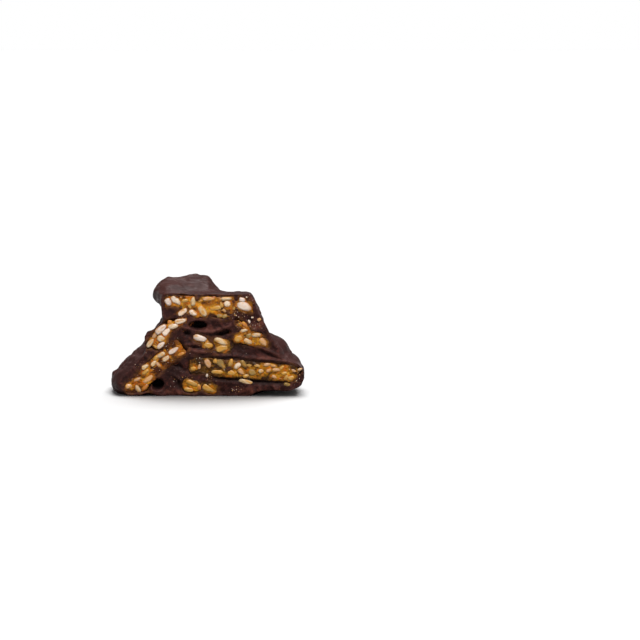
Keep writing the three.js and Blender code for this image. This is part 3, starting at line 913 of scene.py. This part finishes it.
def facets(x, z, size, random):
    """Heights from 0 to 1 of a surface of flat facets with sharp creases, that size apart."""
    across = 97  # facets before they come again
    bend = 0.30 * np.sin(1.9 * z / size + 0.7 * x / size) + 0.25 * np.sin(0.8 * x / size - z / size)
    u = x / size + bend + 40
    v = z / size + 0.30 * np.sin(1.3 * x / size - 0.5 * z / size) + 40
    i, j = np.floor(u).astype(int), np.floor(v).astype(int)
    u, v = u - i, v - j
    height = random.random((across, across))
    corners = ((0, 0), (1, 0), (0, 1), (1, 1))
    a, b, c, d = (height[(i + right) % across, (j + up) % across] for right, up in corners)
    lower = a + u * (b - a) + v * (c - a)
    upper = d + (1 - u) * (c - d) + (1 - v) * (b - d)
    return np.where(u + v < 1, lower, upper)


def torn(co, x, z, random):
    """How far the chocolate that the knife tore stands out of the cut, in millimetres."""
    out = 0.50 * (facets(x, z, 2.6, random) - 0.5) + 0.24 * (facets(x, z, 1.1, random) - 0.5)
    out += 0.12 * rough(co, 0.8 * MM, 7)
    return out * (1 - 0.75 * within(x, z, SMOOTH))


def from_oval(x, z, px, pz, rx, rz):
    """How far places lie from the middle of an oval: 1 on its edge."""
    return np.hypot((x - px) / rx, (z - pz) / rz)


def within(x, z, places):
    """How far each place in millimetres on the cut belongs to any of those ovals, from 0 to 1."""
    inside = np.zeros_like(x)
    for oval in places:
        inside = np.maximum(inside, smoothstep(from_oval(x, z, *oval), 1.35, 0.65))
    return inside


def inside_edge(x, z, edge):
    """How far inside a closed outline each place lies, in millimetres; negative outside it."""
    nearest = np.full(len(x), 1e9)
    crossings = np.zeros(len(x), int)
    for (x0, z0), (x1, z1) in zip(edge, edge[1:] + edge[:1]):
        nearest = np.minimum(nearest, from_line(x, z, x0, z0, x1, z1)[1])
        spans = (z0 > z) != (z1 > z)
        rise = (z1 - z0) or 1e-9
        crossings += spans & (x < x0 + (z - z0) * (x1 - x0) / rise)
    return np.where(crossings % 2 == 1, nearest, -nearest)


def bare_caramel(co, nodes):
    """How far inside the bare caramel of those bands each point lies, in millimetres."""
    flat = co.copy()
    flat[:, 1] = CUT_Y
    x, _, z = from_cut(co)
    inside = np.max([inside_edge(x, z, CARAMEL_EDGES[node]) for node in nodes], axis=0)
    ragged = 0.5 * rough(flat, 0.7 * MM, 52)
    for oval in COVERED:
        away = (from_oval(x, z, *oval) - 1) * min(oval[2:])
        inside = np.minimum(inside, away + ragged)
    return inside + 0.30 * rough(flat, 1.1 * MM, 50) + 0.15 * rough(flat, 0.5 * MM, 51)


class NOUGATINE_OT_chocolate(bpy.types.Operator):
    """Coat the lump in satin dark chocolate, and cut through it with a matt, uneven face"""

    bl_idname = "nougatine.chocolate"
    bl_label = "Chocolate"

    def execute(self, context):
        s = context.scene.nougatine_chocolate
        random = np.random.default_rng(5)
        mesh = even_skin(filled_lump(), s.grain)
        co, normal, edges = skin_of(mesh)
        face = (from_cut(co)[1] < CUT_DEPTH) & (normal[:, 1] < -0.6)
        hollow = open_pockets(co)
        places = from_cut(co)
        cut = np.where(face | (hollow > 0), 1.0, 0.0)
        rim = face & (neighbour_mean(edges, cut) < 0.95)
        co = evened(co, edges, cut, rim)

        cut = soften(cut, edges, 1)
        coat = 1 - cut
        nodules = raise_nodules(co, normal, coat, s, random)
        co += raise_coat(co, places, coat, nodules, s)[:, None] * normal

        x, _, z = from_cut(co)
        ridges = ridged(x, z)
        edge_gap = bare_caramel(co, BANDS)
        band = smoothstep(edge_gap, -0.15, 0.40) * face
        relief = ridges + torn(co, x, z, random)
        co[:, 1] -= cut * (1 - hollow) * (1 - band) * MM * relief
        co[:, 1] += BAND_DEPTH * band
        low, high = np.array(CAD_BOX[0]) - PAST_LOW, np.array(CAD_BOX[1]) + PAST_HIGH
        low[2] = 0
        co = np.clip(co, low, high)
        put_points(mesh, co)

        sunk = (co[:, 1] - soften(co[:, 1], edges, 14)) / MM * (1 - band)
        patchy = smoothstep(rough(co, 1.1 * MM, 8), -0.35, 0.30)
        # Reddish patches of the chocolate itself, and a painted highlight along the crests of the
        # ridges.
        warm = 0.75 * within(x, z, REDDISH) * patchy
        warm = np.maximum(warm, 0.55 * smoothstep(ridges, 0.25, 0.60) * patchy)
        # Painted shade: darker where the cut lies below its smoothed self, and in the listed shaded
        # ovals.
        deep_in = np.maximum(0.9 * smoothstep(sunk, 0.03, 0.30), 0.7 * within(x, z, PAINTED_SHADE))
        syrup = 0.5 * smoothstep(edge_gap, -1.1, -0.2) * smoothstep(patchy, 0.1, 0.9)
        # Painted highlight on the cut where it stands above its smoothed self and along its sharp rim;
        # on the coat, paler where the nodules lift it.
        proud = smoothstep(-sunk, 0.05, 0.25) * (0.4 + 0.6 * patchy)
        proud = np.maximum(proud, 0.9 * soften(rim.astype(float), edges, 1) * patchy)
        proud = np.where(cut > 0.5, proud, smoothstep(nodules / s.nodule, 0.25, 0.9))
        # hollow carries the painted shade deep in the air pockets.
        carry(
            mesh, cut=cut, hollow=hollow * cut, warm=warm * cut, deep_in=deep_in * cut,
            syrup=syrup * cut, proud=proud,
        )
        piece = finished("chocolate_coat", mesh, chocolate_finish(s))
        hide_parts("chocolate")
        return {"FINISHED"}


# ---- caramel ----

# Bands where the painted glow round the seeds is faint at one end and full at the other: the x of
# both, in millimetres.
GLOW_FADE = {"nougatine_lower_right": (1.0, 14.0)}
# How deep the caramel sinks where chocolate covers it.
COVER_DEPTH = 0.9 * MM


def seed_glow(co, node):
    """How near each point lies to a seed that catches the eye on the cut, 1 beside it: the painted
    glow of light that the seeds throw back through the caramel round them.
    """
    x, _, z = from_cut(co)
    near = np.zeros(len(co))
    for sx, sz, slope, length, width, tone in SEEDS[node]:
        turn = math.radians(slope)
        along = (x - sx) * math.cos(turn) + (z - sz) * math.sin(turn)
        across = (z - sz) * math.cos(turn) - (x - sx) * math.sin(turn)
        gap = np.hypot(along / length, across / width) * 2 - 1
        light = 0.5 if tone == "D" else 1.0
        near = np.maximum(near, light * np.exp(-np.clip(gap, 0, 9) * 1.3))
    if node in GLOW_FADE:
        near = 1.5 * near * (0.20 + 0.80 * smoothstep(x, *GLOW_FADE[node]))
    return near


class NOUGATINE_OT_caramel(bpy.types.Operator):
    """Give each shard its glassy caramel, uneven where the knife broke it"""

    bl_idname = "nougatine.caramel"
    bl_label = "Caramel"

    def execute(self, context):
        s = context.scene.nougatine_caramel
        finishes = {name: caramel_finish(name, *look) for name, look in CARAMELS.items()}
        for n, (node, (look, _)) in enumerate(BANDS.items()):
            mesh = even_skin(as_mesh(merged_copy(node), node + "_caramel"), s.grain)
            co, normal, edges = skin_of(mesh)
            co[:, 1] = np.maximum(co[:, 1], CUT_Y)
            behind = from_cut(co)[1]
            front = soften((behind < 0.12).astype(float), edges, 2)
            spread = s.spread * smoothstep(behind, 5.0, 2.0)
            uneven = 0.75 + 0.6 * rough(co, 1.8 * MM, 20 + n)
            sideways = normal.copy()
            sideways[:, 1] *= 1 - front
            co += (spread * uneven)[:, None] * sideways
            co = relax(co, edges, np.array((1.0, 0.5, 1.0)), 2)
            inside = bare_caramel(co, (node,))
            covered = 1 - smoothstep(inside, -0.75, -0.25)
            broken = rough(co, 1.6 * MM, 30 + n) + 0.35 * rough(co, 0.7 * MM, 40 + n)
            co[:, 1] += front * (s.relief * (0.25 - broken) + COVER_DEPTH * covered)
            put_points(mesh, co)
            lit = 0.15 + 0.85 * smoothstep(inside, -0.1, 0.85)
            # near carries the painted glow round the seeds.
            carry(mesh, near=seed_glow(co, node), inside=lit)
            piece = finished(node + "_caramel", mesh, finishes[look])
            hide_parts(node)
        return {"FINISHED"}


# ---- seeds ----

TRIES = 4000
UPRIGHT = Matrix.Identity(3)
INTO_CUT = Vector((0, 1, 0))
SYRUP_COLOUR = Vector((0.42, 0.19, 0.016))
BROWNED_COLOUR = Vector((0.30, 0.105, 0.008))


class SeedTray:
    """Seeds of one piece, joined in one mesh that carries each seed's tone."""

    def __init__(self, random):
        self.random = random
        self.bm = bmesh.new()
        self.tone = self.bm.verts.layers.float_color.new("tone")

    def add(
        self, place, slope, size, tone, facing=UPRIGHT, film=0.0, stain=None, knife=None, fineness=2
    ):
        """One seed, a little lighter or darker and warmer or paler than its tone.

        facing turns it from the cut's own frame, film is how much of it wears caramel, stain is a y
        behind which it browns, and knife the y where the knife shaved it.
        """
        random = self.random
        light = random.uniform(0.88, 1.06)
        warm = random.uniform(-0.05, 0.05)
        r, g, b = TONES[tone][0]
        colour = Vector((r * light * (1 + 0.4 * warm), g * light, b * light * (1 - 2 * warm)))
        made = bmesh.ops.create_icosphere(self.bm, subdivisions=fineness, radius=0.5)["verts"]
        blunt = random.uniform(0.05, 0.4)
        full = random.uniform(2.1, 3.3)
        bend = random.uniform(-0.12, 0.12)
        phase = random.uniform(0, 50)
        turn = Matrix.Rotation(-slope, 4, "Y") @ Euler(
            (random.uniform(-0.35, 0.35), 0, random.uniform(-0.22, 0.22))
        ).to_matrix().to_4x4()
        for v in made:
            x, y, z = v.co
            along = min(0.96, abs(2 * x))
            wide = (1 - along**full) ** (1 / full) / math.sqrt(1 - along * along)
            wide *= 1 - blunt * x - 0.25 * max(0.0, x) ** 2
            edge = 1 + 0.12 * (1 - min(1.0, abs(y) * 4)) * (1 - 4 * x * x)
            v.co = Vector((x, y * wide, z * wide * edge + bend * (0.25 - x * x)))
            v.co *= 1 + 0.12 * noise.noise(v.co * 3.5 + Vector((phase, 0, 0)))
            v.co = Vector((v.co.x * size[0], v.co.y * size[1], v.co.z * size[2]))
            v.co = facing @ (turn @ v.co) + place
            sliced = knife is not None and v.co.y < knife
            if sliced:
                v.co.y = knife + 0.12 * (v.co.y - knife)
            shade = 0.5 + 0.5 * noise.noise(Vector((x, y, z)) * 3 + Vector((0, phase, 0)))
            shade += 0.5 if sliced else -0.5
            shaded = colour * (0.88 + 0.16 * shade)
            syrup = noise.noise(Vector((x, y, z)) * 2.6 + Vector((phase, phase, 0)))
            syrup = min(1.0, max(0.0, (syrup + 1.2 * film - 0.35) / 0.3))
            shaded = shaded.lerp(SYRUP_COLOUR, 0.85 * syrup)
            if stain is not None:
                deep = min(1.0, max(0.0, (v.co.y - stain) / (0.34 * MM)))
                shaded = shaded.lerp(BROWNED_COLOUR, 0.9 * deep)
            v[self.tone] = (*shaded, 1.0)

    def piece(self, name, material):
        return finished(name, as_mesh(self.bm, name), material)


def set_seeds(tray, node, s, random):
    """Sets the seeds of a band that catch the eye. Gives the x, z and size of each."""
    taken = []
    for x, z, slope, length, width, tone in SEEDS[node]:
        _, stand, film = TONES[tone]
        size = (length * MM, s.thick, width * MM)
        proud = s.proud * stand * random.uniform(0.8, 1.15)
        knife = CUT_Y - proud * random.uniform(0.45, 1.0)
        tray.add(
            on_cut(x, z, s.thick / 2 - proud), math.radians(slope), size, tone,
            film=film, stain=CUT_Y - proud + 0.16 * MM, knife=knife, fineness=3,
        )
        taken.append((x, z, 0.5 * (length + width)))
    return taken


def sink_seeds(tray, node, count, taken, s, random):
    """Sinks more seeds in a band's caramel, clear of those taken and of the caramel's edge."""
    surface = surface_of(node + "_caramel")
    low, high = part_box(node)
    found = 0
    for _ in range(TRIES):
        if found == count:
            break
        x = (random.uniform(low.x, high.x) - CUT_X) / MM
        z = random.uniform(low.z, high.z) / MM
        length = random.uniform(1.7, 2.9)
        if any(math.hypot(x - a, z - b) < 0.36 * (length + c) for a, b, c in taken):
            continue
        if inside_edge(np.array((x,)), np.array((z,)), CARAMEL_EDGES[node])[0] < 0.45:
            continue
        hit = surface.ray_cast(on_cut(x, z, -3 * MM), INTO_CUT)[0]
        if hit is None or hit.y > CUT_Y + 0.6 * MM:
            continue
        tone = random.choice(("G", "G", "G", "P", "P", "D", "O", "C"))
        size = (length * MM, 0.9 * s.thick, random.uniform(0.9, 1.4) * MM)
        proud = random.uniform(0.05, 0.22) * MM
        place = Vector((hit.x, hit.y + size[1] / 2 - proud, hit.z))
        tray.add(
            place, random.uniform(0, math.pi), size, tone,
            film=TONES[tone][2], stain=hit.y - 0.04 * MM,
        )
        taken.append((x, z, 0.5 * (length + 1.2)))
        found += 1


class NOUGATINE_OT_seeds(bpy.types.Operator):
    """Set the sesame seeds in the caramel: those that catch the eye, and those sunk between them"""

    bl_idname = "nougatine.seeds"
    bl_label = "Seeds"

    def execute(self, context):
        s = context.scene.nougatine_seeds
        random = np.random.default_rng(23)
        tray = SeedTray(random)
        for node, (_, count) in BANDS.items():
            taken = set_seeds(tray, node, s, random)
            sink_seeds(tray, node, count, taken, s, random)
        tray.piece("seeds_on_cut", seed_finish())
        return {"FINISHED"}


class NOUGATINE_OT_specks(bpy.types.Operator):
    """Add the loose seeds in the chocolate, and the spots of seed that peep out of the coat"""

    bl_idname = "nougatine.specks"
    bl_label = "Loose seeds and specks"

    def execute(self, context):
        s = context.scene.nougatine_seeds
        random = np.random.default_rng(41)
        tray = SeedTray(random)
        skin = surface_of("chocolate_coat")
        for x, z, slope, length, width, tone in LOOSE_SEEDS:
            size = (length * MM, min(s.thick, 1.6 * width * MM), width * MM)
            hit = skin.ray_cast(on_cut(x, z, -4 * MM), INTO_CUT)[0]
            if hit is None:
                raise RuntimeError("a loose seed has no chocolate behind it")
            place = Vector((hit.x, hit.y + 0.18 * size[1], hit.z))
            tray.add(place, math.radians(slope), size, tone, film=0.1, stain=hit.y, fineness=3)
        tray.piece("loose_seeds", bpy.data.materials["Sesame"])

        spots = SeedTray(random)
        co, normal, _ = skin_of(bpy.data.objects["chocolate_coat"].data)
        behind = co[:, 1] - CUT_Y
        keep = (behind > 1.5 * MM) & (co[:, 2] > 1.5 * MM) & (normal[:, 2] > -0.5)
        keep &= normal[:, 1] > -0.15
        for i in scattered(co, keep, s.specks, 4.5 * MM, random):
            facing = Vector((0, -1, 0)).rotation_difference(Vector(normal[i])).to_matrix()
            size = (random.uniform(1.0, 2.2) * MM, 0.8 * MM, random.uniform(0.6, 1.1) * MM)
            place = Vector(co[i]) - Vector(normal[i]) * 0.33 * MM
            tone = random.choice(("O", "P", "O", "G"))
            spots.add(place, random.uniform(0, math.pi), size, tone, facing)
        spots.piece("specks_on_coat", bpy.data.materials["Sesame"])
        return {"FINISHED"}


# ---- crumbs ----

# Colours of the scuffs that lie all over the cut, and of the bits where the knife tore a shard.
SCUFFS = (
    (0.080, 0.034, 0.024), (0.100, 0.045, 0.033), (0.060, 0.024, 0.018), (0.30, 0.23, 0.19),
    (0.075, 0.026, 0.018), (0.16, 0.07, 0.03),
)
BITS = (
    (0.26, 0.12, 0.03), (0.15, 0.055, 0.012), (0.42, 0.34, 0.26), (0.12, 0.045, 0.022),
    (0.20, 0.095, 0.045), (0.09, 0.035, 0.024), (0.13, 0.055, 0.020),
)
# The least size of a crumb, and how much larger the largest scuffs and bits are, in millimetres.
LEAST_CRUMB, SCUFF_RANGE, BIT_RANGE = 0.13, 0.15, 0.34


class NOUGATINE_OT_crumbs(bpy.types.Operator):
    """Strew the crumbs that the knife left on the chocolate of the cut"""

    bl_idname = "nougatine.crumbs"
    bl_label = "Crumbs"

    def execute(self, context):
        s = context.scene.nougatine_seeds
        random = np.random.default_rng(77)
        co, normal, _ = skin_of(bpy.data.objects["chocolate_coat"].data)
        x, _, z = from_cut(co)
        flat = (co[:, 1] - CUT_Y < 0.7 * MM) & (normal[:, 1] < -0.8) & (z > 0.6)
        busy = rough(co, 4 * MM, 60) > -0.15
        spread = [(i, SCUFFS) for i in scattered(co, flat & busy, s.crumbs, 0.5 * MM, random)]
        for *oval, count in CRUMBLED:
            here = flat & (from_oval(x, z, *oval) < 1)
            spread += [(i, BITS) for i in scattered(co, here, count, 0.4 * MM, random)]
        bm = bmesh.new()
        layer = bm.verts.layers.float_color.new("tone")
        for i, colours in spread:
            made = bmesh.ops.create_icosphere(bm, subdivisions=1, radius=0.5)["verts"]
            more = BIT_RANGE if colours is BITS else SCUFF_RANGE
            size = MM * (LEAST_CRUMB + more * random.uniform() ** 2)
            turn = Euler(random.uniform(0, 6.28, 3)).to_matrix()
            colour = colours[random.integers(len(colours))]
            stretch = Vector((1.0, random.uniform(0.5, 0.9), random.uniform(0.5, 1.5)))
            place = Vector(co[i]) + Vector(random.uniform(-0.2, 0.2, 3) * (1, 0, 1)) * MM
            for v in made:
                v.co += Vector(random.uniform(-0.12, 0.12, 3))
                v.co = turn @ (v.co * stretch) * size + place
                v[layer] = (*colour, 1.0)
        finished("crumbs", as_mesh(bm, "crumbs"), bpy.data.materials["Sesame"])
        return {"FINISHED"}


# ---- stage ----

TABLE_RADIUS = 6.0
# Where the camera looks: millimetres to the right of the foot's middle, and up in the picture.
AIM_RIGHT, AIM_UP = 28.125, 19


class NOUGATINE_OT_stage(bpy.types.Operator):
    """Set the lump on a white table in soft light, and place the camera"""

    bl_idname = "nougatine.stage"
    bl_label = "Stage"

    def execute(self, context):
        s = context.scene.nougatine_stage
        scene = context.scene
        bm = bmesh.new()
        bmesh.ops.create_circle(bm, cap_ends=True, segments=96, radius=TABLE_RADIUS)
        table = bpy.data.objects.new("table", as_mesh(bm, "table"))
        m = new_material("Table")
        table.data.materials.append(
            m.show(m.finish(Base_Color=(*s.floor, 1.0), Roughness=0.9, Specular_IOR_Level=0.1))
        )
        scene.collection.objects.link(table)

        sky = Shader(bpy.data.worlds.new("Studio"), "Generated")
        y, z = (sky.node("ShaderNodeSeparateXYZ", None, {0: sky.place}, axis) for axis in "YZ")
        backdrop = z.band(0.22, 0.06) * y.band(0.4, 0.9)
        glow = backdrop * (1 - s.sky) + s.sky
        studio = sky.node("ShaderNodeBackground", None, {"Color": (1, 1, 1, 1), "Strength": glow})
        scene.world = sky.show(studio, "ShaderNodeOutputWorld")

        def soft_light(name, place, power, width):
            lamp = bpy.data.lights.new(name, "SUN")
            lamp.energy = power
            lamp.angle = width
            light = bpy.data.objects.new(name, lamp)
            light.rotation_euler = Vector(place).to_track_quat("Z", "Y").to_euler()
            scene.collection.objects.link(light)
            return light

        soft_light("overhead", (0.12, 0.32, 0.94), s.overhead, math.radians(50))
        key = soft_light("key", (0.12, -0.55, 0.83), s.key, math.radians(16))
        key.light_linking.receiver_collection = lump_pieces()

        lens = bpy.data.cameras.new("view")
        lens.lens = 120
        lens.sensor_width = 36
        lens.clip_start = 0.01
        camera = bpy.data.objects.new("view", lens)
        up = Vector((0, math.sin(s.elevation), math.cos(s.elevation)))
        ahead = Vector((0, math.cos(s.elevation), -math.sin(s.elevation)))
        aim = on_cut(AIM_RIGHT, 0) + up * AIM_UP * MM
        camera.location = aim - ahead * s.distance
        camera.rotation_euler = (math.pi / 2 - s.elevation, 0, 0)
        scene.collection.objects.link(camera)
        scene.camera = camera
        scene.view_settings.view_transform = "Standard"
        return {"FINISHED"}


class NOUGATINE_PT_panel(bpy.types.Panel):
    """The pieces of the lump, in the order in which they are made"""

    bl_idname = "NOUGATINE_PT_panel"
    bl_label = "Sesame Nougatine"
    bl_space_type = "VIEW_3D"
    bl_region_type = "UI"
    bl_category = "Nougatine"

    def draw(self, context):
        for step in STEPS:
            self.layout.operator(step.bl_idname)
        for name, group in SETTINGS.items():
            box = self.layout.box()
            for setting in group.__annotations__:
                box.prop(getattr(context.scene, name), setting)


STEPS = (
    NOUGATINE_OT_stage,
    NOUGATINE_OT_chocolate,
    NOUGATINE_OT_caramel,
    NOUGATINE_OT_seeds,
    NOUGATINE_OT_specks,
    NOUGATINE_OT_crumbs,
)
SETTINGS = {
    "nougatine_chocolate": NougatineChocolate,
    "nougatine_caramel": NougatineCaramel,
    "nougatine_seeds": NougatineSeeds,
    "nougatine_stage": NougatineStage,
}


def register():
    for name, group in SETTINGS.items():
        bpy.utils.register_class(group)
        setattr(bpy.types.Scene, name, PointerProperty(type=group))
    for step in STEPS:
        bpy.utils.register_class(step)
    bpy.utils.register_class(NOUGATINE_PT_panel)


def unregister():
    bpy.utils.unregister_class(NOUGATINE_PT_panel)
    for step in reversed(STEPS):
        bpy.utils.unregister_class(step)
    for name, group in SETTINGS.items():
        delattr(bpy.types.Scene, name)
        bpy.utils.unregister_class(group)


def main():
    register()
    bpy.ops.nougatine.stage()
    bpy.ops.nougatine.chocolate()
    bpy.ops.nougatine.caramel()
    bpy.ops.nougatine.seeds()
    bpy.ops.nougatine.specks()
    bpy.ops.nougatine.crumbs()


if __name__ == "__main__":
    main()
